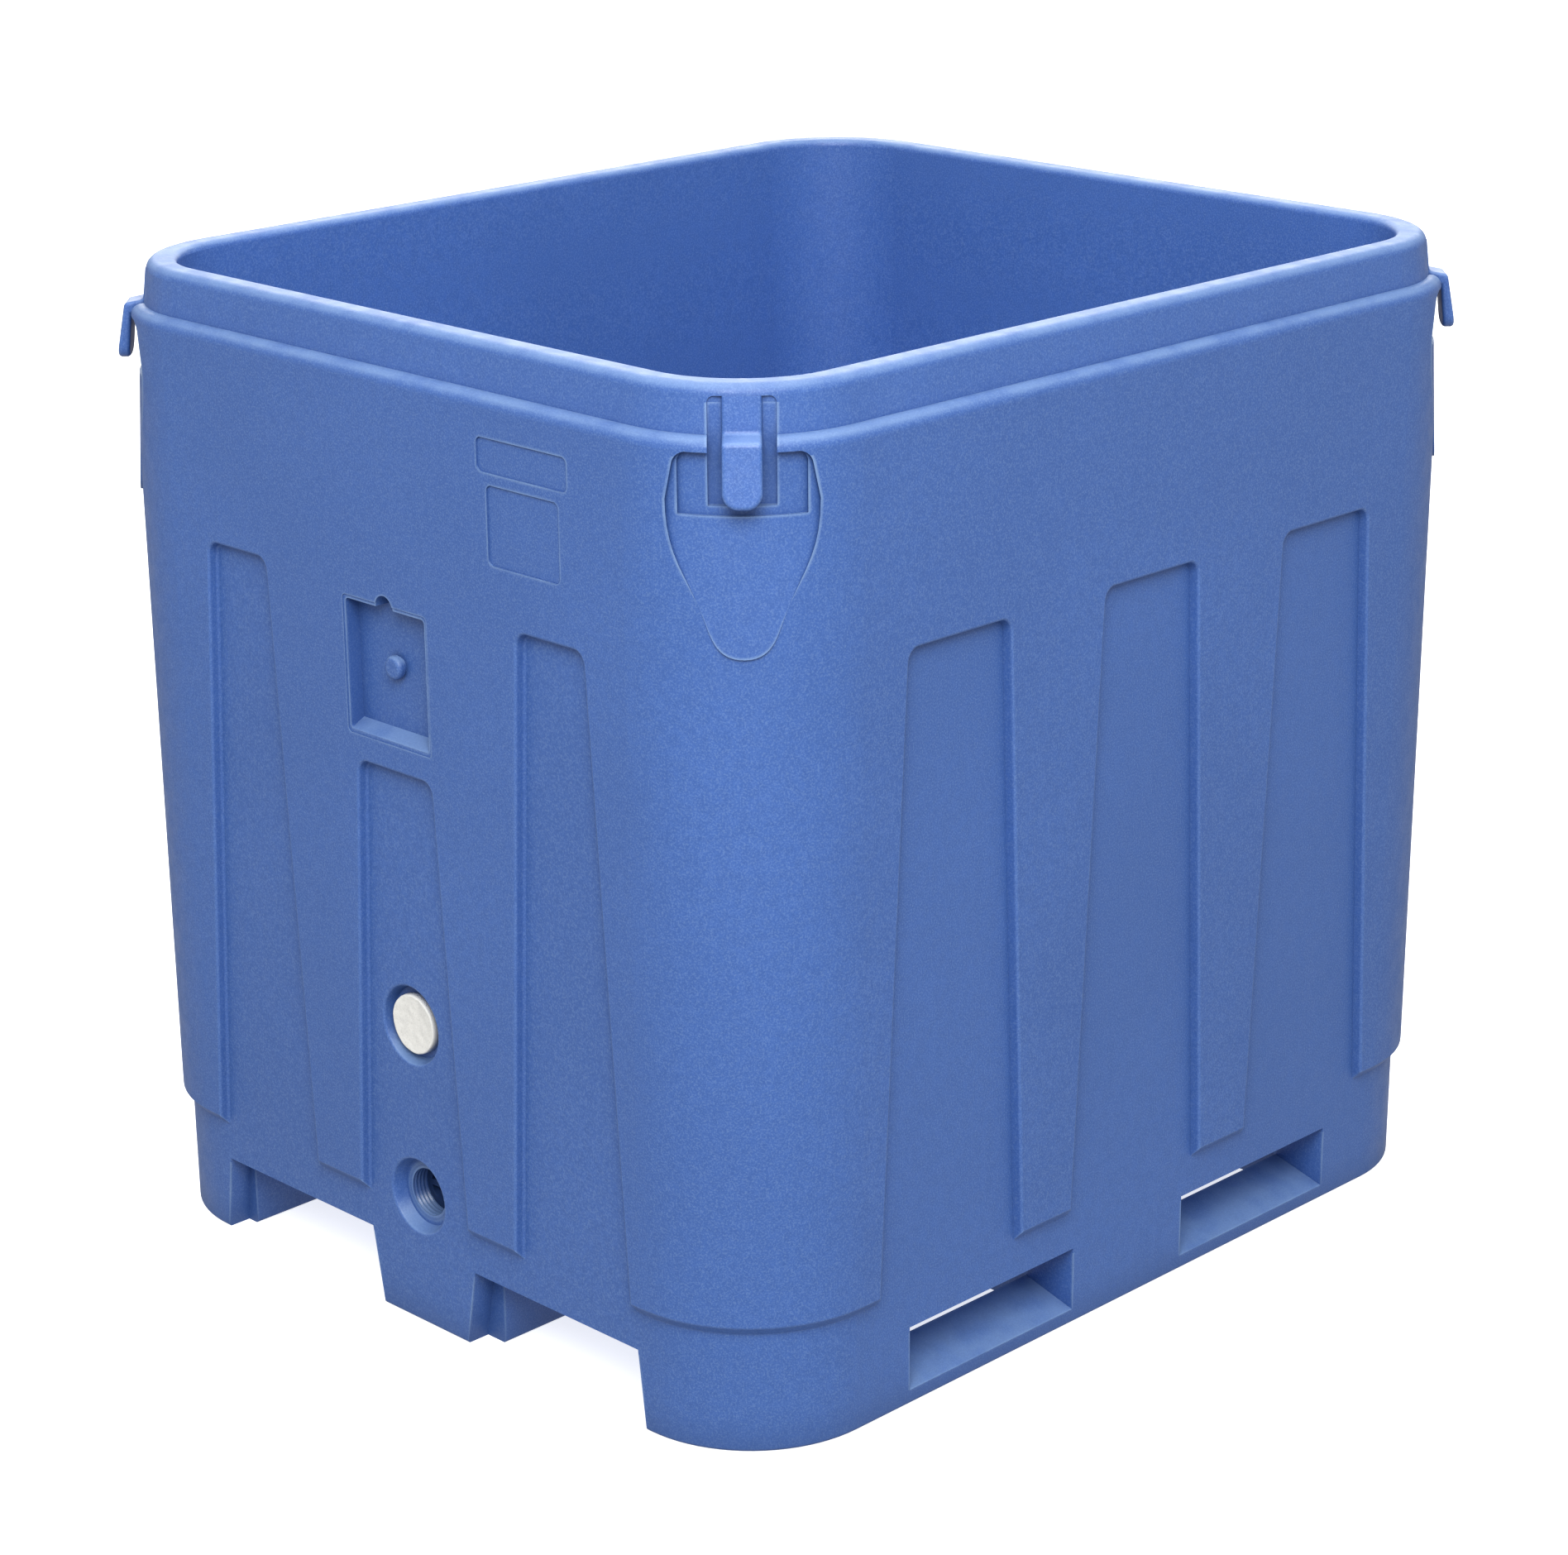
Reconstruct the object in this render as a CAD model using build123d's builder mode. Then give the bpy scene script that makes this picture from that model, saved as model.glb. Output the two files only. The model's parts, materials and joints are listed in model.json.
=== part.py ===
"""Insulated bulk container: an open, double-walled polyethylene tub on three runners.

Millimetres. +Z is up, the origin is on the floor under the middle of the tub, and the
drain is in the front face, towards -Y. The long side of the tub lies along Y.
"""

from build123d import *
from math import atan, degrees
import os

# ---- driving dimensions -------------------------------------------------------------
width = 1068.0  # along X, over the ribs
length = 1220.0  # along Y, over the ribs
height = 1140.0
corner_radius = 166.0
skin = 6.0  # moulded polyethylene skin
wall = 54.0  # whole double wall at the rim, ribs to cavity
cavity_draft = 12.0  # the cavity is this much smaller on each side at its floor

# ---- heights ------------------------------------------------------------------------
deck_z = 92.0  # top of the fork pockets
rib_foot_z = 138.0  # where the ribs start to stand out of the lower band
rib_full_z = 150.0  # where they stand out fully
cavity_floor_z = 128.0
collar_split_z = 1078.0  # the rim collar is moulded from here up
shelf_z = 1092.0  # ledge that the skirt of a lid rests on
cap_z = 1128.0  # underside of the closed rim

# ---- outer wall ---------------------------------------------------------------------
panel_depth = 11.0  # the ribs stand this proud of the panels and the lower band
panel_draft = 12.0  # degrees, on the sides of the ribs
panel_corner = 13.0
collar_inset = 15.0  # width of the shelf
collar_lean = 6.0  # the collar leans in by this much up to the rim
collar_skin = 14.0  # collar wall, thicker than the rest
rim_round = 12.0  # outer edge of the rim
rim_inner_round = 8.0
shelf_round = 13.5  # the ledge is one soft roll down to the wall
edge_round = 3.5  # soft edges of a rotational moulding

# Each panel: centre at its foot and at its top, half-width at its foot and at its top, top height
front_panels = ((0, 0, 89, 58, 656), (261, 255, 89, 48, 852), (-261, -255, 89, 48, 852))
side_panels = ((0, 0, 110, 74, 852), (306, 302, 110, 74, 852), (-306, -302, 110, 74, 852))

# ---- things in the front face -------------------------------------------------------
port_x = -5.0  # the card recess, the foam port and the drain stand on this line
card_z = 764.0
card_size = (129.0, 146.0)
card_depth = 19.0
card_corner = 5.0
card_frame = 4.0  # shallow border around the recess
card_frame_depth = 1.0
notch_radius = 14.0
label_x = 221.0
label_depth = 2.0
labels = ((135.0, 36.0, 1031.0), (108.0, 84.0, 959.0))  # width, height, middle height
port_z = 361.0
port_mouth_radius = 46.0
port_floor_radius = 41.0
port_depth = 14.0
plug_radius = 34.5
plug_shank_radius = 30.0
drain_z = 155.0
drain_mouth_radius = 44.5
drain_seat_radius = 39.0
drain_seat_depth = 16.0
bore_radius = 28.0
thread_radius = 30.0
thread_pitch = 5.0
bush_radius = 34.0
stud_radius = 13.0
stud_reach = 12.0
stud_z = 770.0
card_sill = 9.0  # the recess's sill rises by this much inwards
plug_head = 12.0
plug_tail = 5.0  # the plug's barbed end behind the skin
plug_barb = 1.5
thread_turns = 4
thread_lead = 3.0
thread_flank = 3.0
plug_face = -37.0  # outer face of the drain plug, from the front panel
drain_plug_radius = 27.7
drain_plug_length = 16.0
grip_radius = 20.0
grip_depth = 9.0
grip_bar = 7.0
seal_height = -48.0
seal_groove = 4.6
seal_radius = 25.8
seal_thickness = 4.2

# ---- lid hooks at the corners -------------------------------------------------------
hook_width = 39.0
hook_shoulder_z = 1089.0
hook_shoulder_reach = 6.5  # the shoulder stands this far out of the corner
hook_arm_z = 1077.0  # underside of the hook's arm
tongue_foot_z = 1026.0
tongue_reach = 18.5
tongue_thickness = 14.0
tongue_corner = 16.0
hook_round = 4.0
groove_width = 67.0
groove_foot_z = 1024.0
groove_top_z = 1129.0  # the rounded rim runs on over the groove
groove_corner = 7.0
groove_floor = (corner_radius - 25.5, corner_radius - 23.0, corner_radius - 20.0)
pocket_depth = 9.5
pocket_foot_z = 1015.0
pocket_half_width = 63.0
pocket_corner = 12.0
pad_tip_z = 874.0
pad_half_width = 75.0
pad_top_half_width = 68.0  # at the top, below the shelf
pad_stand = 3.0  # the tip of the pad stands this proud of the corner
pad_sink = 5.0  # and its foot, at the hook's pocket, lies this deep

# ---- runners ------------------------------------------------------------------------
mouth_depth = 28.0  # flared mouths of the fork pockets
runner_edges = (102.0, 345.0)  # side of the middle runner, inner side of an outer runner
mouth_edges_top = (88.0, 351.0)
mouth_edges_floor = (72.0, 362.0)
slot_y = (95.0, 362.0)  # side slots, from the middle of the runner
rail_outer_z = 17.0  # the rail under a slot is thin at the outside
rail_inner_z = 36.0  # and rises towards the pocket
rail_width = 69.0
middle_rail_half = 40.0
middle_rail_z = 28.0

half_x = width / 2
half_y = length / 2
band_inset = panel_depth
corner_x = half_x - corner_radius
corner_y = half_y - corner_radius
panel_y = half_y - panel_depth  # distance of the panel faces from the middle
corners = [
    Location((corner_x, corner_y, 0), (0, 0, 45)),
    Location((-corner_x, corner_y, 0), (0, 0, 135)),
    Location((-corner_x, -corner_y, 0), (0, 0, 225)),
    Location((corner_x, -corner_y, 0), (0, 0, 315)),
]

os.makedirs("parts", exist_ok=True)


def plan(inset):
    """Rounded rectangle of the tub seen from above, this far inside the ribs."""
    RectangleRounded(width - 2 * inset, length - 2 * inset, corner_radius - inset)


def ribbed_prism(inset, bottom_z, top_z):
    """Adds the outer wall's shape without its panels: a lower band, then the ribs' full width."""
    with BuildSketch(Plane.XY.offset(bottom_z)) as band:
        plan(band_inset + inset)
    extrude(band.sketch, amount=top_z - bottom_z)
    flare = degrees(atan(panel_depth / (rib_full_z - rib_foot_z)))
    with BuildSketch(Plane.XY.offset(rib_foot_z + inset)) as foot:
        plan(band_inset + inset)
    extrude(foot.sketch, amount=rib_full_z - rib_foot_z, taper=-flare)
    with BuildSketch(Plane.XY.offset(rib_full_z + inset)) as ribs:
        plan(inset)
    extrude(ribs.sketch, amount=top_z - rib_full_z - inset)


def panel_set(face, panels, inset):
    """Adds the cutters of one face's panels, grown by the inset for the inside of the skin."""
    with BuildSketch(face.offset(-panel_depth - inset)) as outlines:
        for foot, top, half_foot, half_top, top_z in panels:
            low = rib_foot_z - inset
            Polygon(
                (foot - half_foot - inset, low),
                (foot + half_foot + inset, low),
                (top + half_top + inset, top_z + inset),
                (top - half_top - inset, top_z + inset),
                align=None,
            )
        tops = outlines.vertices().filter_by_position(Axis.Y, rib_full_z, height)
        fillet(tops, radius=panel_corner + inset)
    extrude(outlines.sketch, amount=panel_depth + inset + 1, taper=-panel_draft)


# ---- cutters that several pieces share ----------------------------------------------
# All four walls' recessed panels.
with BuildPart() as panels:
    panel_set(Plane.XZ.offset(half_y), front_panels, 0)
    panel_set(Plane.YZ.offset(half_x), side_panels, 0)
    mirror(about=Plane.XZ)
    mirror(about=Plane.YZ)

# The same panels as the foam sees them, behind the skin.
with BuildPart() as foam_panels:
    panel_set(Plane.XZ.offset(half_y), front_panels, skin)
    panel_set(Plane.YZ.offset(half_x), side_panels, skin)
    mirror(about=Plane.XZ)
    mirror(about=Plane.YZ)


def drop_outline(grow):
    """Adds the drop-shaped outline of a thumb pad: straight at the top, a round tip at the foot."""
    half = pad_half_width + grow
    tip_z = pad_tip_z - grow
    top_half = pad_top_half_width + grow
    top_z = collar_split_z + grow
    corner = pocket_corner + grow
    with BuildLine() as outline:
        side = Spline(
            (0, tip_z),
            (0.53 * half, tip_z + 42),
            (0.87 * half, tip_z + 98),
            (half, tip_z + 156),
            tangents=((1, 0), (0, 1)),
        )
        up = Line(side @ 1, (top_half, top_z - corner))
        bend = TangentArc(up @ 1, (top_half - corner, top_z), tangent=up % 1)
        across = Line(bend @ 1, (0, top_z))
        Line(across @ 1, side @ 0)
    make_face(outline.edges())
    mirror(about=Plane.YZ)


def corner_pocket(grow):
    """Returns the sunk face of a thumb pad and the deeper pocket behind a hook's tongue, grown
    by that much, in one corner's own frame: Z is the corner's axis, X points out along the
    diagonal."""
    top_z = collar_split_z + grow
    beyond = corner_radius + 40
    with BuildPart() as face:
        with BuildSketch(Plane.XZ) as lean:
            Polygon(
                (corner_radius + pad_stand - grow, pad_tip_z - grow),
                (corner_radius - pad_sink - grow, pocket_foot_z),
                (corner_radius - pad_sink - grow, top_z),
                (beyond, top_z),
                (beyond, pad_tip_z - grow),
                align=None,
            )
        revolve(lean.sketch, axis=Axis.Z)
        with BuildSketch(Plane.YZ.offset(100)) as outline:
            drop_outline(grow)
        extrude(outline.sketch, amount=110, mode=Mode.INTERSECT)
    with BuildPart() as space:
        with BuildSketch(Plane.XZ) as depth:
            Polygon(
                (corner_radius - pocket_depth - grow, pocket_foot_z - grow),
                (corner_radius - pocket_depth - grow, top_z),
                (beyond, top_z),
                (beyond, pocket_foot_z - grow),
                align=None,
            )
        revolve(depth.sketch, axis=Axis.Z)
        with BuildSketch(Plane.YZ.offset(100)) as front:
            Polygon(
                (-pocket_half_width - grow, pocket_foot_z - grow),
                (pocket_half_width + grow, pocket_foot_z - grow),
                (pocket_half_width + grow, top_z),
                (-pocket_half_width - grow, top_z),
                align=None,
            )
            fillet(front.vertices().group_by(Axis.Y)[-1], radius=pocket_corner + grow)
        extrude(front.sketch, amount=110, mode=Mode.INTERSECT)
        add(face.part)
    return space.part


def corner_groove(grow):
    """Returns the groove that a hook stands in, grown by that much: it is as wide as the hook
    and a finger on each side."""
    with BuildPart() as space:
        with BuildSketch(Plane.XZ) as floor:
            Polygon(
                (groove_floor[0] - grow, height),
                (groove_floor[1] - grow, shelf_z),
                (groove_floor[2] - grow, groove_foot_z - grow),
                (corner_radius + 40, groove_foot_z - grow),
                (corner_radius + 40, height),
                align=None,
            )
        extrude(floor.sketch, amount=groove_width / 2 + grow, both=True)
        with BuildSketch(Plane.YZ.offset(100)) as front:
            Polygon(
                (-groove_width / 2 - grow, groove_foot_z - grow),
                (groove_width / 2 + grow, groove_foot_z - grow),
                (groove_width / 2 + grow, groove_top_z + grow),
                (-groove_width / 2 - grow, groove_top_z + grow),
                align=None,
            )
            fillet(front.vertices().group_by(Axis.Y)[-1], radius=groove_corner + grow)
        extrude(front.sketch, amount=110, mode=Mode.INTERSECT)
    return space.part


pocket = corner_pocket(0)
groove = corner_groove(0)

# The thumb pad itself, added to the corner behind that space.
with BuildPart() as pad:
    with BuildSketch(Plane.XZ):
        Polygon(
            (corner_radius - skin, pad_tip_z),
            (corner_radius + pad_stand, pad_tip_z),
            (corner_radius - pad_sink, pocket_foot_z),
            (corner_radius - skin, pocket_foot_z),
            align=None,
        )
    revolve(axis=Axis.Z)
    with BuildSketch(Plane.YZ.offset(100)):
        drop_outline(0)
    extrude(amount=110, mode=Mode.INTERSECT)

# Base plate of a hook, moulded into the corner: its face is the groove's floor, up to where
# the groove's upper corners are rounded.
plate_top_z = groove_top_z - groove_corner
with BuildPart() as hook_plate:
    add(corner_groove(skin))
    with Locations((corner_radius, 0, plate_top_z)):
        Box(
            2 * corner_radius,
            groove_width,
            plate_top_z - groove_foot_z,
            align=(Align.CENTER, Align.CENTER, Align.MAX),
            mode=Mode.INTERSECT,
        )
    add(groove, mode=Mode.SUBTRACT)

# ---- inner liner --------------------------------------------------------------------
cavity_lean = degrees(atan(cavity_draft / (height - cavity_floor_z)))
liner_floor_z = cavity_floor_z - skin
floor_round = 40.0

# The space that holds the load.
with BuildPart() as cavity:
    with BuildSketch(Plane.XY.offset(cavity_floor_z)):
        plan(wall + cavity_draft)
    extrude(amount=height + 10 - cavity_floor_z, taper=-cavity_lean)
    fillet(cavity.edges().group_by(Axis.Z)[0], radius=floor_round)

# The liner's outside, which the foam is cast against.
with BuildPart() as liner_outside:
    with BuildSketch(Plane.XY.offset(liner_floor_z)):
        plan(wall + cavity_draft - skin)
    extrude(amount=cap_z - liner_floor_z, taper=-cavity_lean)
    fillet(liner_outside.edges().group_by(Axis.Z)[0], radius=floor_round + skin)

# Frames on the front panel, with Z pointing out of the face, towards -Y.
drain_frame = Plane(origin=(port_x, -panel_y, drain_z), x_dir=(1, 0, 0), z_dir=(0, -1, 0))
port_frame = Plane(origin=(port_x, -panel_y, port_z), x_dir=(1, 0, 0), z_dir=(0, -1, 0))
bush_length = 83.0  # from the seat in the front face to past the liner
bush_seat = -drain_seat_depth  # local height of the bush's outer end

with BuildPart(drain_frame) as bush_blank:
    with Locations((0, 0, bush_seat)):
        Cylinder(bush_radius, bush_length, align=(Align.CENTER, Align.CENTER, Align.MAX))

with BuildPart() as inner_liner:
    add(liner_outside.part)
    add(cavity.part, mode=Mode.SUBTRACT)
    add(bush_blank.part, mode=Mode.SUBTRACT)
inner_liner.part.label = "inner_liner"
export_step(inner_liner.part, "parts/inner_liner.step")

# ---- space between the skins --------------------------------------------------------
card_back = 4 * skin  # moulding around the card recess
with BuildPart() as hollow:
    ribbed_prism(skin, deck_z + skin, shelf_z - skin)
    add(foam_panels.part, mode=Mode.SUBTRACT)
    with BuildSketch(Plane.XY.offset(shelf_z - skin)):
        plan(collar_inset + collar_skin)
    extrude(amount=cap_z - shelf_z + skin)
    with Locations(*corners):
        add(corner_pocket(skin), mode=Mode.SUBTRACT)
        add(corner_groove(skin), mode=Mode.SUBTRACT)
    with BuildSketch(Plane.XZ.offset(half_y)):
        with Locations((port_x, card_z)):
            Rectangle(card_size[0] + card_back, card_size[1] + card_back)
    extrude(amount=-card_depth - skin, mode=Mode.SUBTRACT)
    with BuildSketch(Plane.XZ.offset(half_y)):
        with Locations((port_x, port_z), (port_x, drain_z)):
            Circle(port_mouth_radius + skin)
    extrude(amount=-panel_depth - drain_seat_depth - skin, mode=Mode.SUBTRACT)

# ---- outer shell --------------------------------------------------------------------
# The deep pocket for a route card, with a sloped sill and a thumb notch over it.
card_half = card_size[1] / 2
with BuildPart() as card_space:
    with BuildSketch(Plane.XZ.offset(half_y)):
        with Locations((port_x, card_z)):
            RectangleRounded(*card_size, card_corner)
        with Locations((port_x, card_z + card_half)):
            Circle(notch_radius)
    extrude(amount=-card_depth)
    with BuildSketch(Plane.YZ.offset(port_x)):
        Polygon(
            (-half_y - 1, card_z - card_half - 1),
            (-half_y, card_z - card_half),
            (-half_y + card_depth, card_z - card_half + card_sill),
            (-half_y + card_depth, card_z - card_half - 1),
            align=None,
        )
    extrude(amount=card_size[0], both=True, mode=Mode.SUBTRACT)

port_skin = drain_seat_depth + skin - port_depth  # wall behind the foam port's seat
with BuildPart() as outer_shell:
    ribbed_prism(0, deck_z, collar_split_z)
    add(panels.part, mode=Mode.SUBTRACT)

    # soft edges around the panels: the edges that lie in the face of the ribs
    ribs = outer_shell.edges().filter_by_position(Axis.Z, rib_full_z, collar_split_z - 100)
    fronts = ribs.filter_by_position(Axis.X, 1 - corner_x, corner_x - 1)
    sides = ribs.filter_by_position(Axis.Y, 1 - corner_y, corner_y - 1)
    for sign in (1, -1):
        face_y = sorted((sign * (half_y - 0.1), sign * (half_y + 0.1)))
        face_x = sorted((sign * (half_x - 0.1), sign * (half_x + 0.1)))
        fillet(fronts.filter_by_position(Axis.Y, *face_y), radius=edge_round)
        fillet(sides.filter_by_position(Axis.X, *face_x), radius=edge_round)

    # hook pockets, thumb pads and grooves at the corners
    with Locations(*corners):
        add(pocket, mode=Mode.SUBTRACT)
        add(pad.part)
        add(groove, mode=Mode.SUBTRACT)
        add(hook_plate.part, mode=Mode.SUBTRACT)

    # card recess, in a shallow frame
    with BuildSketch(Plane.XZ.offset(half_y)):
        with Locations((port_x, card_z)):
            RectangleRounded(card_size[0] + 2 * card_frame, card_size[1] + 2 * card_frame, 5)
    extrude(amount=-card_frame_depth, mode=Mode.SUBTRACT)
    add(card_space.part, mode=Mode.SUBTRACT)

    # blank label fields
    with BuildSketch(Plane.XZ.offset(half_y)):
        for label_width, label_height, label_z in labels:
            with Locations((label_x, label_z)):
                RectangleRounded(label_width, label_height, 7)
    extrude(amount=-label_depth, mode=Mode.SUBTRACT)

    # foam port and drain: dished recesses with a hole through the skin
    with BuildSketch(port_frame):
        Circle(port_mouth_radius)
    with BuildSketch(port_frame.offset(-port_depth)):
        Circle(port_floor_radius)
    loft(mode=Mode.SUBTRACT)
    with BuildSketch(drain_frame):
        Circle(drain_mouth_radius)
    with BuildSketch(drain_frame.offset(bush_seat)):
        Circle(drain_seat_radius)
    loft(mode=Mode.SUBTRACT)
    mouths = outer_shell.edges().filter_by(GeomType.CIRCLE).filter_by_position(
        Axis.Y, -panel_y - 0.1, -panel_y + 0.1
    )
    fillet(mouths, radius=edge_round)
    with BuildSketch(port_frame.offset(-port_depth)):
        Circle(plug_shank_radius)
    extrude(amount=-port_skin, mode=Mode.SUBTRACT)

    # hollow it: foam space, liner, base deck and drain bush
    add(hollow.part, mode=Mode.SUBTRACT)
    add(liner_outside.part, mode=Mode.SUBTRACT)
    add(bush_blank.part, mode=Mode.SUBTRACT)
    with BuildSketch(Plane.XY.offset(deck_z)):
        plan(band_inset + skin)
    extrude(amount=skin, mode=Mode.SUBTRACT)
outer_shell.part.label = "outer_shell"
export_step(outer_shell.part, "parts/outer_shell.step")

# ---- rim collar ---------------------------------------------------------------------
with BuildPart() as rim_collar:
    with BuildSketch(Plane.XY.offset(collar_split_z)):
        plan(0)
    extrude(amount=shelf_z - collar_split_z)
    fillet(rim_collar.edges().group_by(Axis.Z)[-1], radius=shelf_round)
    with BuildSketch(Plane.XY.offset(shelf_z)):
        plan(collar_inset)
    extrude(amount=height - shelf_z, taper=degrees(atan(collar_lean / (height - shelf_z))))
    fillet(rim_collar.edges().group_by(Axis.Z)[-1], radius=rim_round)
    with Locations(*corners):
        add(groove, mode=Mode.SUBTRACT)
        add(hook_plate.part, mode=Mode.SUBTRACT)
    add(hollow.part, mode=Mode.SUBTRACT)
    add(liner_outside.part, mode=Mode.SUBTRACT)
    add(cavity.part, mode=Mode.SUBTRACT)
    inner_lip = rim_collar.edges().filter_by_position(Axis.Z, height - 0.1, height + 0.1)
    inner_lip = inner_lip.filter_by_position(Axis.X, wall - half_x - 1, half_x - wall + 1)
    inner_lip = inner_lip.filter_by_position(Axis.Y, wall - half_y - 1, half_y - wall + 1)
    fillet(inner_lip, radius=rim_inner_round)
rim_collar.part.label = "rim_collar"
export_step(rim_collar.part, "parts/rim_collar.step")

# ---- foam ---------------------------------------------------------------------------
with BuildPart() as wall_foam:
    add(hollow.part)
    split(bisect_by=Plane.XY.offset(liner_floor_z), keep=Keep.TOP)
    add(liner_outside.part, mode=Mode.SUBTRACT)
    add(bush_blank.part, mode=Mode.SUBTRACT)
    with BuildSketch(port_frame.offset(-port_depth)):
        Circle(plug_shank_radius + plug_barb + 1)
    extrude(amount=-port_skin - plug_tail - 1, mode=Mode.SUBTRACT)

# The walls and the corners, each around its own middle in the plan. The front wall has a
# column of its own behind the card recess, the foam port and the drain.
straight = (2 * corner_x, 2 * corner_y)
around = 2 * corner_radius
column = card_size[0] + card_back
side_left = corner_x + port_x - column / 2
side_right = corner_x - port_x - column / 2
foam_zones = {
    "foam_front_middle": ((port_x, -half_y), (column, around)),
    "foam_front_side_left": (((port_x - column / 2 - corner_x) / 2, -half_y), (side_left, around)),
    "foam_front_side_right": (((port_x + column / 2 + corner_x) / 2, -half_y), (side_right, around)),
    "foam_back": ((0, half_y), (straight[0], around)),
    "foam_left": ((-half_x, 0), (around, straight[1])),
    "foam_right": ((half_x, 0), (around, straight[1])),
    "foam_front_left": ((-half_x, -half_y), (around, around)),
    "foam_front_right": ((half_x, -half_y), (around, around)),
    "foam_back_left": ((-half_x, half_y), (around, around)),
    "foam_back_right": ((half_x, half_y), (around, around)),
}
for name, (middle, size) in foam_zones.items():
    with BuildPart() as foam:
        add(wall_foam.part)
        with Locations((*middle, 0)):
            Box(*size, 2 * height, mode=Mode.INTERSECT)
    foam.part.label = name
    export_step(foam.part, f"parts/{name}.step")

with BuildPart() as floor_foam:
    add(hollow.part)
    split(bisect_by=Plane.XY.offset(liner_floor_z), keep=Keep.BOTTOM)
    add(bush_blank.part, mode=Mode.SUBTRACT)
floor_foam.part.label = "floor_foam"
export_step(floor_foam.part, "parts/floor_foam.step")

# ---- base ---------------------------------------------------------------------------
with BuildPart() as base_deck:
    with BuildSketch(Plane.XY.offset(deck_z)):
        plan(band_inset + skin)
    extrude(amount=skin)
base_deck.part.label = "base_deck"
export_step(base_deck.part, "parts/base_deck.step")

band_x = half_x - band_inset
slot_middle = (slot_y[0] + slot_y[1]) / 2
slot_length = slot_y[1] - slot_y[0]

with BuildPart() as runner_right:
    with BuildSketch():
        plan(band_inset)
        with Locations((runner_edges[1], 0)):
            Rectangle(half_x, length, align=(Align.MIN, Align.CENTER), mode=Mode.INTERSECT)
    extrude(amount=deck_z)
    fillet(runner_right.edges().group_by(Axis.Z)[0], radius=edge_round)
    # side slots, open below except for the rail at the outside
    for side in (1, -1):
        with BuildSketch(Plane.XZ.offset(side * slot_middle)):
            Polygon(
                (band_x + 1, rail_outer_z),
                (band_x, rail_outer_z),
                (band_x - rail_width, rail_inner_z),
                (band_x - rail_width, -1),
                (runner_edges[1] - 1, -1),
                (runner_edges[1] - 1, deck_z),
                (band_x + 1, deck_z),
                align=None,
            )
        extrude(amount=slot_length / 2, both=True, mode=Mode.SUBTRACT)
        # flared mouth of the fork pocket
        with BuildSketch(Plane.XZ.offset(side * (panel_y - mouth_depth / 2))):
            Polygon(
                (runner_edges[1] - 1, -1),
                (mouth_edges_floor[1], -1),
                (mouth_edges_top[1], deck_z),
                (runner_edges[1] - 1, deck_z),
                align=None,
            )
        extrude(amount=mouth_depth / 2 + 1, both=True, mode=Mode.SUBTRACT)
runner_right.part.label = "runner_right"
export_step(runner_right.part, "parts/runner_right.step")

with BuildPart() as runner_left:
    mirror(runner_right.part, about=Plane.YZ)
runner_left.part.label = "runner_left"
export_step(runner_left.part, "parts/runner_left.step")

with BuildPart() as runner_middle:
    with BuildSketch():
        Rectangle(2 * runner_edges[0], 2 * panel_y)
    extrude(amount=deck_z)
    fillet(runner_middle.edges().group_by(Axis.Z)[0], radius=edge_round)
    for side in (1, -1):
        with BuildSketch(Plane.XZ.offset(side * slot_middle)):
            Rectangle(2 * runner_edges[0] + 2, 4 * deck_z)
            with Locations((0, middle_rail_z)):
                Rectangle(
                    2 * middle_rail_half,
                    2 * deck_z + middle_rail_z,
                    align=(Align.CENTER, Align.MAX),
                    mode=Mode.SUBTRACT,
                )
        extrude(amount=slot_length / 2, both=True, mode=Mode.SUBTRACT)
        for end in (1, -1):
            with BuildSketch(Plane.XZ.offset(end * (panel_y - mouth_depth / 2))):
                Polygon(
                    (side * (runner_edges[0] + 1), -1),
                    (side * mouth_edges_floor[0], -1),
                    (side * mouth_edges_top[0], deck_z),
                    (side * (runner_edges[0] + 1), deck_z),
                    align=None,
                )
            extrude(amount=mouth_depth / 2 + 1, both=True, mode=Mode.SUBTRACT)
runner_middle.part.label = "runner_middle"
export_step(runner_middle.part, "parts/runner_middle.step")

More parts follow.
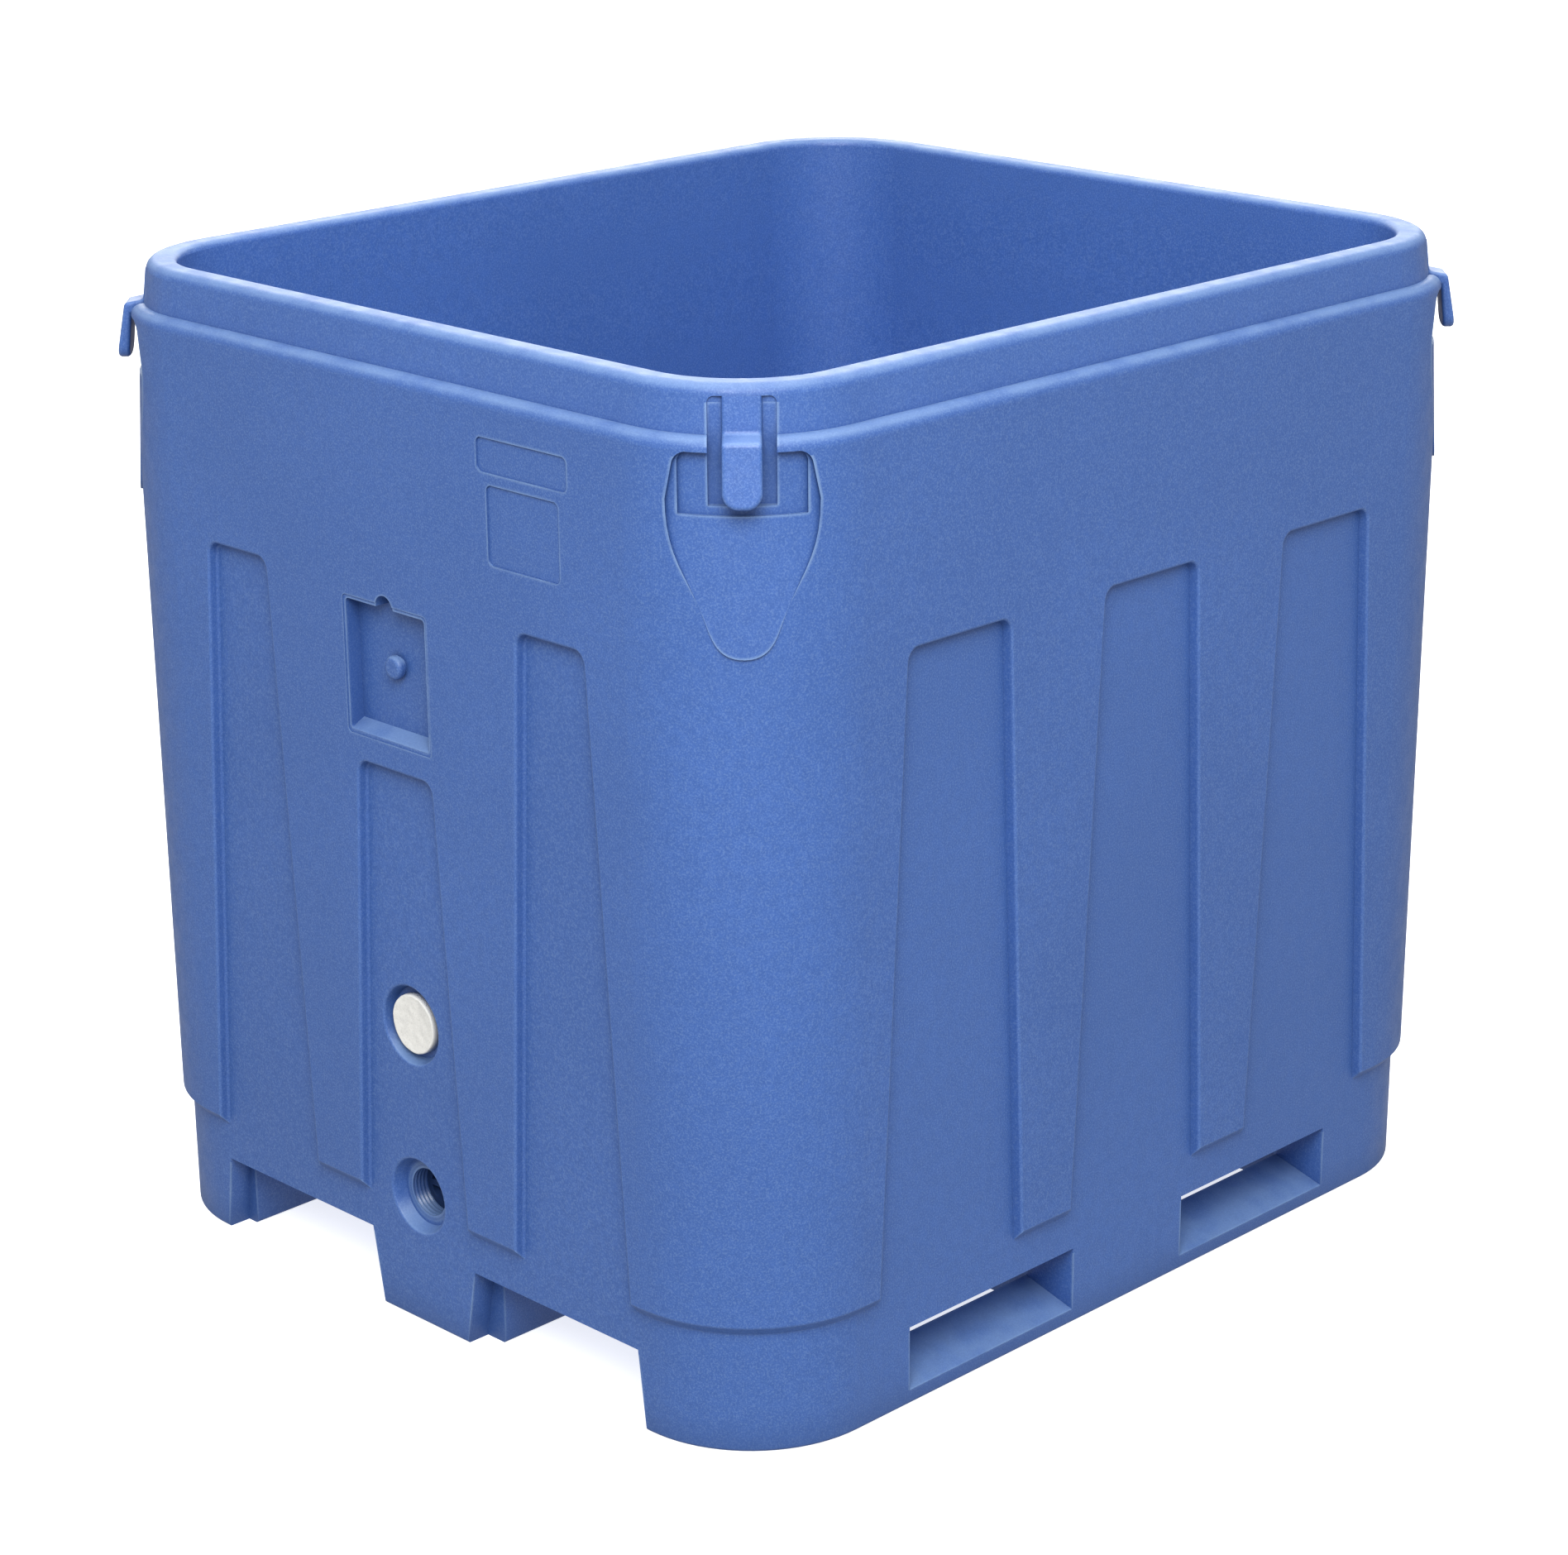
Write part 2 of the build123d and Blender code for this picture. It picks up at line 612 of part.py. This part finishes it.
# ---- lid hooks ----------------------------------------------------------------------
# One hook in its corner's own frame: the bar lies in the groove, flush with the collar, then
# steps out over the pocket and ends in a tongue that a lid strap or rope loop goes behind.
climb = (groove_top_z - shelf_z) / (height - shelf_z)
bar_inset = collar_inset + climb * collar_lean
floor_top = groove_floor[1] + climb * (groove_floor[0] - groove_floor[1])
drop = (shelf_z - hook_arm_z) / (shelf_z - groove_foot_z)
floor_arm = groove_floor[1] + drop * (groove_floor[2] - groove_floor[1])
shoulder = (corner_radius + hook_shoulder_reach, hook_shoulder_z)
bend = (corner_radius - collar_inset, shelf_z + 1)
with BuildPart() as hook:
    with BuildSketch(Plane.XZ) as hook_profile:
        Polygon(
            (floor_top, groove_top_z),
            (corner_radius - bar_inset, groove_top_z),
            bend,
            shoulder,
            (corner_radius + tongue_reach, tongue_foot_z),
            (corner_radius + tongue_reach - tongue_thickness, tongue_foot_z),
            (corner_radius - 1, hook_arm_z),
            (floor_arm, hook_arm_z),
            (groove_floor[1], shelf_z),
            align=None,
        )
        fillet(hook_profile.vertices().sort_by_distance(shoulder)[0], radius=6)
        fillet(hook_profile.vertices().sort_by_distance(bend)[0], radius=5)
    extrude(amount=hook_width / 2, both=True)
    foot = hook.edges().filter_by_position(Axis.Z, tongue_foot_z - 1, tongue_foot_z + 1)
    fillet(foot.filter_by(Axis.X), radius=tongue_corner)
    rounded = hook.edges().filter_by_position(Axis.X, groove_floor[2] + 0.5, half_x)
    rounded = rounded.filter_by_position(Axis.Z, 0, groove_top_z - 0.5)
    fillet(rounded - rounded.filter_by(Axis.Y), radius=hook_round)
    add(hook_plate.part)
hook_names = ("hook_back_right", "hook_back_left", "hook_front_left", "hook_front_right")
for name, corner in zip(hook_names, corners):
    with BuildPart() as lid_hook:
        with Locations(corner):
            add(hook.part)
    lid_hook.part.label = name
    export_step(lid_hook.part, f"parts/{name}.step")

# ---- small pieces in the front face -------------------------------------------------
stud_frame = Plane(origin=(port_x, -half_y + card_depth, stud_z), x_dir=(1, 0, 0), z_dir=(0, -1, 0))
with BuildPart(stud_frame) as card_stud:
    Cylinder(stud_radius - 2.5, stud_reach, align=(Align.CENTER, Align.CENTER, Align.MIN))
    with Locations((0, 0, stud_reach)):
        Cylinder(stud_radius, 8, align=(Align.CENTER, Align.CENTER, Align.MAX))
    fillet(card_stud.faces().sort_by(Axis.Y)[0].edges(), radius=5)
card_stud.part.label = "card_stud"
export_step(card_stud.part, "parts/card_stud.step")

with BuildPart(port_frame) as foam_fill_plug:
    with Locations((0, 0, -port_depth)):
        Cylinder(plug_radius, plug_head, align=(Align.CENTER, Align.CENTER, Align.MIN))
        Cylinder(
            plug_shank_radius,
            port_skin + plug_tail,
            align=(Align.CENTER, Align.CENTER, Align.MAX),
        )
    with Locations((0, 0, -port_depth - port_skin)):
        Cone(
            plug_shank_radius - 2,
            plug_shank_radius + plug_barb,
            plug_tail,
            align=(Align.CENTER, Align.CENTER, Align.MAX),
        )
    fillet(foam_fill_plug.faces().sort_by(Axis.Y)[0].edges(), radius=2)
foam_fill_plug.part.label = "foam_fill_plug"
export_step(foam_fill_plug.part, "parts/foam_fill_plug.step")

with BuildPart() as drain_bush:
    add(bush_blank.part)
    add(cavity.part, mode=Mode.SUBTRACT)
    with BuildSketch(drain_frame.offset(bush_seat)):
        Circle(bore_radius)
    extrude(amount=-2 * bush_length, mode=Mode.SUBTRACT)
    with Locations(drain_frame):
        for turn in range(thread_turns):
            with Locations((0, 0, bush_seat - thread_lead - turn * thread_pitch)):
                Cone(bore_radius, thread_radius, thread_flank, mode=Mode.SUBTRACT)
drain_bush.part.label = "drain_bush"
export_step(drain_bush.part, "parts/drain_bush.step")

with BuildPart(drain_frame) as drain_plug:
    with Locations((0, 0, plug_face)):
        Cylinder(drain_plug_radius, drain_plug_length, align=(Align.CENTER, Align.CENTER, Align.MAX))
        Cylinder(
            grip_radius,
            grip_depth,
            align=(Align.CENTER, Align.CENTER, Align.MAX),
            mode=Mode.SUBTRACT,
        )
        Box(2 * grip_radius + 2, grip_bar, grip_depth, align=(Align.CENTER, Align.CENTER, Align.MAX))
    with BuildSketch(drain_frame.offset(seal_height - seal_groove / 2)):
        Circle(drain_plug_radius + 1)
        Circle(seal_radius - seal_thickness / 2 - 0.1, mode=Mode.SUBTRACT)
    extrude(amount=seal_groove, mode=Mode.SUBTRACT)
drain_plug.part.label = "drain_plug"
export_step(drain_plug.part, "parts/drain_plug.step")

with BuildPart(drain_frame) as drain_seal:
    with Locations((0, 0, seal_height)):
        Torus(seal_radius, seal_thickness / 2)
drain_seal.part.label = "drain_seal"
export_step(drain_seal.part, "parts/drain_seal.step")
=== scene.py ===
"""Looks for the insulated bulk container: camera, studio and procedural plastics around the CAD frame."""

import json
from math import cos, pi, radians, sin

import bmesh
import bpy
from mathutils import Matrix, Vector, noise


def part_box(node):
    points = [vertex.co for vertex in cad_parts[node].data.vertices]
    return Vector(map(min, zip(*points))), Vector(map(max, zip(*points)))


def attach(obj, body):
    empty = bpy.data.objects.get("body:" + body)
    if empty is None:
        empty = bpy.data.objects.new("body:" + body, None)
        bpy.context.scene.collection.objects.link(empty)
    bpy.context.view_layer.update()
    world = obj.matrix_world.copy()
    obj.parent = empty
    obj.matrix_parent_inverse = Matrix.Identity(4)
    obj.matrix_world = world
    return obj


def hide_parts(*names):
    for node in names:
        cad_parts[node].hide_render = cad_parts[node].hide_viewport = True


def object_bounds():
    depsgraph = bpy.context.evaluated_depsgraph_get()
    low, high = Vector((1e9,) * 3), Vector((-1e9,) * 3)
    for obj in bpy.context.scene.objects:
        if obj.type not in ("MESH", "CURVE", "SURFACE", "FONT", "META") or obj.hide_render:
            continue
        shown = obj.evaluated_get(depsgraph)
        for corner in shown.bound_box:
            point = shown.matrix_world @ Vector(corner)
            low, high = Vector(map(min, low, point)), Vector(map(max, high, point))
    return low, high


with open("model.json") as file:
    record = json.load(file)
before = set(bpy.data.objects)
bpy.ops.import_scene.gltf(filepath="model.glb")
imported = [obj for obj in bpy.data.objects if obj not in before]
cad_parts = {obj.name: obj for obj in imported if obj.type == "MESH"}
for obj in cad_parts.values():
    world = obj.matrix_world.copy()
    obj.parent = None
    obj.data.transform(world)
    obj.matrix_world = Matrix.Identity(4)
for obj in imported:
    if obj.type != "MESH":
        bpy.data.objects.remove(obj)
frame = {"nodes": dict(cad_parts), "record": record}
cad_low, cad_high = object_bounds()
nodes = frame["nodes"]
scene = bpy.context.scene


# ---- camera -------------------------------------------------------------------------
CAMERA_AZIMUTH = 44.76  # degrees from the front face towards its right side
CAMERA_ELEVATION = 20.58
CAMERA_ROLL = -0.37
CAMERA_DISTANCE = 4.545  # to the point that it looks at
LOOK_AT = (0.0, 0.0, 0.351)
LENS = 86.95
SHIFT = (-0.0090, 0.0756)


def add_camera():
    """Adds the camera on its arc round the tub."""
    azimuth, elevation = radians(CAMERA_AZIMUTH), radians(CAMERA_ELEVATION)
    away = Vector((sin(azimuth) * cos(elevation), -cos(azimuth) * cos(elevation), sin(elevation)))
    data = bpy.data.cameras.new("camera")
    data.sensor_width = 36.0
    data.lens = LENS
    data.shift_x, data.shift_y = SHIFT
    data.clip_end = 60.0
    camera = bpy.data.objects.new("camera", data)
    facing = away.to_track_quat("Z", "Y").to_matrix().to_4x4()
    roll = Matrix.Rotation(radians(CAMERA_ROLL), 4, "Z")
    camera.matrix_world = Matrix.Translation(Vector(LOOK_AT) + away * CAMERA_DISTANCE) @ facing @ roll
    scene.collection.objects.link(camera)
    scene.camera = camera


# ---- studio -------------------------------------------------------------------------
SKY = 0.53  # soft light from all around
PAPER = 0.93  # whiteness of the floor that the tub stands on
PAPER_GLOW = 0.75  # light of its own that keeps the floor white in the picture
FLOOR_REACH = 28.0
FLOOR_DROP = 0.0005  # how far the floor lies below the feet


def add_light(name, place, aim, size, power):
    """Adds a round soft box at a place, facing the point that it aims at."""
    data = bpy.data.lights.new(name, "AREA")
    data.shape = "DISK"
    data.size = size
    data.energy = power
    light = bpy.data.objects.new(name, data)
    place = Vector(place)
    facing = (place - Vector(aim)).to_track_quat("Z", "Y").to_matrix().to_4x4()
    light.matrix_world = Matrix.Translation(place) @ facing
    scene.collection.objects.link(light)


def add_floor():
    """Adds a white, evenly lit floor that the tub neither mirrors nor is lit by."""
    shape = bmesh.new()
    bmesh.ops.create_grid(shape, x_segments=1, y_segments=1, size=FLOOR_REACH)
    mesh = bpy.data.meshes.new("floor")
    shape.to_mesh(mesh)
    shape.free()
    floor = bpy.data.objects.new("floor", mesh)
    floor.location.z = cad_low[2] - FLOOR_DROP
    floor.visible_diffuse = False
    floor.visible_glossy = False
    scene.collection.objects.link(floor)
    material = bpy.data.materials.new("floor")
    material.use_nodes = True
    surface = material.node_tree.nodes["Principled BSDF"]
    surface.inputs["Base Color"].default_value = (PAPER, PAPER, PAPER, 1)
    surface.inputs["Roughness"].default_value = 0.9
    surface.inputs["Specular IOR Level"].default_value = 0.1
    surface.inputs["Emission Color"].default_value = (1, 1, 1, 1)
    surface.inputs["Emission Strength"].default_value = PAPER_GLOW
    mesh.materials.append(material)


def set_studio():
    """Sets an even white sky, the floor, a key light by the camera and soft boxes over the rim."""
    scene.view_settings.view_transform = "Standard"
    world = bpy.data.worlds.new("studio")
    world.use_nodes = True
    world.node_tree.nodes["Background"].inputs["Color"].default_value = (1, 1, 1, 1)
    world.node_tree.nodes["Background"].inputs["Strength"].default_value = SKY
    scene.world = world
    add_floor()
    rim = (0, 0, cad_high[2])
    add_light("key", (2.85, -2.95, 3.9), (0, 0, 0.8), 3.0, 215)
    add_light("back_box", (-4.0, 4.0, 3.6), rim, 6.5, 250)
    add_light("overhead", (0.3, -0.1, 4.2), rim, 2.6, 45)


# ---- materials ----------------------------------------------------------------------
class Nodes:
    """Shorthand for building one material's node tree."""

    def __init__(self, name):
        self.material = bpy.data.materials.new(name)
        self.material.use_nodes = True
        self.tree = self.material.node_tree
        self.surface = self.tree.nodes["Principled BSDF"]
        self.place = self.add("TexCoord").outputs["Object"]

    def add(self, kind, settings=(), **inputs):
        """Adds a shader node with its settings, and feeds the inputs named."""
        node = self.tree.nodes.new("ShaderNode" + kind)
        for key, value in dict(settings).items():
            setattr(node, key, value)
        for key, value in inputs.items():
            self.feed(node.inputs[key.replace("_", " ")], value)
        return node

    def feed(self, socket, value):
        """Links a socket to another, or sets it to a number or a colour."""
        if isinstance(value, bpy.types.NodeSocket):
            self.tree.links.new(value, socket)
        else:
            socket.default_value = value

    def noise(self, scale, detail=2.0, roughness=0.5):
        grain = self.add("TexNoise", Vector=self.place, Scale=scale, Detail=detail, Roughness=roughness)
        return grain.outputs["Fac"]

    def ramp(self, value, low, high, out_low=0.0, out_high=1.0):
        """A smooth step from one pair of numbers to another."""
        node = self.add("MapRange", {"interpolation_type": "SMOOTHSTEP"}, Value=value)
        for key, number in (("From Min", low), ("From Max", high), ("To Min", out_low), ("To Max", out_high)):
            node.inputs[key].default_value = number
        return node.outputs["Result"]

    def calculate(self, operation, *values):
        node = self.add("Math", {"operation": operation})
        for index, value in enumerate(values):
            self.feed(node.inputs[index], value)
        return node.outputs[0]

    def times(self, first, second):
        return self.calculate("MULTIPLY", first, second)

    def height(self, vector):
        """The upward part of a place or a direction."""
        return self.add("SeparateXYZ", Vector=vector).outputs["Z"]

    def mix(self, amount, first, second):
        node = self.add("Mix", {"data_type": "RGBA"})
        for index, value in ((0, amount), (6, first), (7, second)):
            self.feed(node.inputs[index], value)
        return node.outputs[2]

    def shelter(self, distance, inside=False):
        """How open a point is: 1 in the open, less in a recess, or at an outer edge if inside."""
        node = self.add("AmbientOcclusion", {"samples": 6, "inside": inside}, Distance=distance)
        return node.outputs["AO"]

    def set(self, key, value):
        self.feed(self.surface.inputs[key], value)


def shade(colour, factor):
    """The same colour, lighter or darker."""
    return tuple(min(1.0, channel * factor) for channel in colour[:3]) + (1,)


# Heights where zones of the one moulding meet: they carry no painted edge highlight.
SEAMS = (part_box("base_deck")[0].z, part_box("rim_collar")[0].z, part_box("inner_liner")[1].z)
SEAM_REACH = 0.0055
RECESS_REACH = 0.06  # how near a surface has to be to cast painted shade on another
RECESS_SHADE = 0.65  # how much of a deep recess is painted dark, as shade
EDGE_REACH = 0.0034  # width of the painted highlight band along an outer edge
EDGE_HIGHLIGHT = 0.6  # how pale its middle is painted, as a highlight
UP_HIGHLIGHT = 0.42  # how much of a surface that faces up is painted pale, as a highlight

# Sizes of the noises, in waves per metre
CLOUD = 3.1
HIGHLIGHT_PATCH = 22.0
GLOSS_PATCH = 48.0
MOTTLE = 95.0
ORANGE_PEEL = 140.0
GRAIN = 520.0
FINE_GRAIN = 700.0


def plastic(name, colour, pale_grain_and_highlight, rough=0.47, grain=GRAIN):
    """Moulded polyethylene: a speckled grain over cloudy colour, an orange peel, painted shade
    in its recesses and a painted highlight along its outer edges and on the tops that face up."""
    n = Nodes(name)
    speckle = n.noise(grain, 4.0, 0.7)
    mottle = n.noise(MOTTLE, 3.0)
    cloud = n.noise(CLOUD, 3.0)
    base = n.mix(n.ramp(cloud, 0.3, 0.7), shade(colour, 0.95), shade(colour, 1.05))
    base = n.mix(n.ramp(mottle, 0.35, 0.65, 0.0, 0.5), base, shade(colour, 0.9))
    base = n.mix(n.ramp(speckle, 0.48, 0.62, 0.0, 0.22), base, pale_grain_and_highlight)
    base = n.mix(n.ramp(speckle, 0.38, 0.5, 0.28, 0.0), base, shade(colour, 0.62))
    # painted shade: the colour is darkened towards half where other surfaces are near, in recesses and
    # creases
    opening = n.shelter(RECESS_REACH)
    base = n.mix(n.ramp(opening, 0.35, 0.95, RECESS_SHADE, 0.0), base, shade(colour, 0.5))
    patchy = n.ramp(n.noise(HIGHLIGHT_PATCH, 4.0), 0.25, 0.6, 0.45, 1.0)
    # painted highlight: outer edges are painted pale, patchily, as if catching the light
    edge = n.ramp(n.shelter(EDGE_REACH, inside=True), 0.55, 0.97, EDGE_HIGHLIGHT, 0.0)
    up = n.height(n.place)
    for seam in SEAMS:
        edge = n.mix(n.calculate("COMPARE", up, seam, SEAM_REACH), edge, (0, 0, 0, 1))
    edge = n.times(edge, n.ramp(opening, 0.45, 0.9))
    base = n.mix(n.times(edge, patchy), base, pale_grain_and_highlight)
    # painted highlight: surfaces that face up are painted paler, patchily
    facing_up = n.height(n.add("NewGeometry").outputs["Normal"])
    base = n.mix(n.times(n.ramp(facing_up, 0.25, 0.8, 0.0, UP_HIGHLIGHT), patchy), base, pale_grain_and_highlight)
    n.set("Base Color", base)
    n.set("Specular IOR Level", 0.5)
    n.set("Roughness", n.ramp(n.noise(GLOSS_PATCH, 3.0), 0.3, 0.7, rough - 0.06, rough + 0.06))
    soft = n.add("Bump", Strength=0.10, Distance=0.002, Height=n.noise(ORANGE_PEEL, 2.0))
    fine = n.add("Bump", Strength=0.12, Distance=0.0004, Height=speckle, Normal=soft.outputs["Normal"])
    n.set("Normal", fine.outputs["Normal"])
    return n.material


def rubber():
    """Black sealing rubber with a little dust."""
    n = Nodes("seal_rubber")
    dust = n.ramp(n.noise(260.0, 4.0), 0.45, 0.75, 0.0, 0.35)
    n.set("Base Color", n.mix(dust, (0.012, 0.012, 0.013, 1), (0.09, 0.09, 0.085, 1)))
    n.set("Roughness", n.ramp(n.noise(120.0), 0.3, 0.7, 0.45, 0.62))
    n.set("Normal", n.add("Bump", Strength=0.2, Distance=0.0003, Height=n.noise(900.0)).outputs["Normal"])
    return n.material


def foam():
    """Rigid polyurethane foam: pale yellow with closed cells."""
    n = Nodes("insulating_foam")
    cells = n.add("TexVoronoi", {"feature": "SMOOTH_F1"}, Vector=n.place, Scale=420.0).outputs["Distance"]
    tint = n.ramp(n.noise(14.0, 3.0), 0.3, 0.7)
    n.set("Base Color", n.mix(tint, (0.80, 0.68, 0.38, 1), (0.86, 0.76, 0.48, 1)))
    n.set("Roughness", n.ramp(cells, 0.0, 0.6, 0.95, 0.8))
    n.set("Normal", n.add("Bump", Strength=0.6, Distance=0.001, Height=cells).outputs["Normal"])
    return n.material


BLUE = (0.054, 0.140, 0.445, 1)
# painted shade: a copy of the blue darkened to 0.35, for the drain plug deep in its bore
PLUG_SHADED_BLUE = shade(BLUE, 0.35)
# pale colours used both for the pale speckle of the grain and for the painted highlights on edges and tops
PALE_GRAIN_AND_HIGHLIGHT_BLUE = (0.27, 0.41, 0.64, 1)
PALE_GRAIN_AND_HIGHLIGHT_HOOK_BLUE = (0.30, 0.45, 0.74, 1)
PALE_GRAIN_AND_HIGHLIGHT_PLUG_BLUE = (0.06, 0.12, 0.34, 1)
CREAM = (0.93, 0.92, 0.87, 1)
PALE_GRAIN_AND_HIGHLIGHT_CREAM = (0.97, 0.97, 0.95, 1)
MATERIALS = {
    "blue_polyethylene": plastic("blue_polyethylene", BLUE, PALE_GRAIN_AND_HIGHLIGHT_BLUE),
    # painted light: the hooks get a copy of the blue made 5% lighter, with a paler highlight colour
    "hook_polyethylene": plastic("hook_polyethylene", shade(BLUE, 1.05), PALE_GRAIN_AND_HIGHLIGHT_HOOK_BLUE, 0.4),
    "white_polyethylene": plastic("white_polyethylene", CREAM, PALE_GRAIN_AND_HIGHLIGHT_CREAM, 0.4),
    "drain_fitting": plastic("drain_fitting", shade(BLUE, 0.9), PALE_GRAIN_AND_HIGHLIGHT_BLUE, 0.36, FINE_GRAIN),
    # painted shade: the drain plug takes the darkened copy of the blue
    "drain_plug_plastic": plastic("drain_plug_plastic", PLUG_SHADED_BLUE, PALE_GRAIN_AND_HIGHLIGHT_PLUG_BLUE, 0.34, FINE_GRAIN),
    "seal_rubber": rubber(),
    "insulating_foam": foam(),
}


def finish_nodes():
    """Gives every CAD node the material that its record names."""
    for row in frame["record"]["subparts"]:
        slots = nodes[row["node"]].data.materials
        slots.clear()
        slots.append(MATERIALS[row["material_slot"]])


# ---- foam-fill plug -----------------------------------------------------------------
PLUG_SIDES = 72
PLUG_RINGS = 12
PLUG_DISH = 0.0016  # depth of the dish that the welded face sank into
PLUG_UNEVEN = 0.0009  # height of the waves that the welding left in it
COARSE_WAVES = 60  # per metre
FINE_WAVES = 150
PLUG_SET_BACK = 0.0012  # of the face, from the front of the space that the plug fills
PLUG_ROLL = 0.0030  # depth of the rolled edge
PLUG_HEAD = 0.0122  # thickness of the head
PLUG_STEM = 0.86  # radius of the stem behind it, as a share of the head's
# middle to edge of the roll: share of the radius, and depth
ROLLED_EDGE = [(0.955, 0.0), (0.98, 0.0006), (0.994, 0.0016), (1.0, PLUG_ROLL)]


def add_fill_plug():
    """The cream plug in the foam port: welded in by hand, so its face is dished and uneven."""
    low, high = (Vector(corner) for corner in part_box("foam_fill_plug"))
    centre = (low + high) / 2
    radius = (high.x - low.x) / 2
    face = low.y + PLUG_SET_BACK
    shares = [ring / PLUG_RINGS for ring in range(1, PLUG_RINGS)]
    rings = [(share, PLUG_DISH * (1 - share ** 2)) for share in shares] + ROLLED_EDGE
    rings += [(1.0, PLUG_HEAD), (PLUG_STEM, PLUG_HEAD), (PLUG_STEM, high.y - face)]
    shape = bmesh.new()

    def point(share, depth, angle):
        x, z = share * radius * cos(angle), share * radius * sin(angle)
        coarse = noise.noise(Vector((x, z, 0.3)) * COARSE_WAVES)
        fine = noise.noise(Vector((x, z, 1.7)) * FINE_WAVES)
        lift = PLUG_UNEVEN * (coarse + 0.5 * fine) if depth < PLUG_ROLL else 0.0
        return shape.verts.new((centre.x + x, face + depth - lift, centre.z + z))

    loops = []
    for share, depth in rings:
        loops.append([point(share, depth, 2 * pi * side / PLUG_SIDES) for side in range(PLUG_SIDES)])
    middle = point(0.0, PLUG_DISH, 0.0)
    back = shape.verts.new((centre.x, high.y, centre.z))
    for side in range(PLUG_SIDES):
        after = (side + 1) % PLUG_SIDES
        shape.faces.new((middle, loops[0][side], loops[0][after]))
        shape.faces.new((back, loops[-1][after], loops[-1][side]))
        for inner, outer in zip(loops, loops[1:]):
            shape.faces.new((inner[side], outer[side], outer[after], inner[after]))
    bmesh.ops.recalc_face_normals(shape, faces=shape.faces)
    mesh = bpy.data.meshes.new("fill_plug")
    shape.to_mesh(mesh)
    shape.free()
    for polygon in mesh.polygons:
        polygon.use_smooth = True
    mesh.materials.append(MATERIALS["white_polyethylene"])
    piece = bpy.data.objects.new("fill_plug", mesh)
    scene.collection.objects.link(piece)
    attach(piece, "tub")
    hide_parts("foam_fill_plug")


add_camera()
finish_nodes()
add_fill_plug()
set_studio()
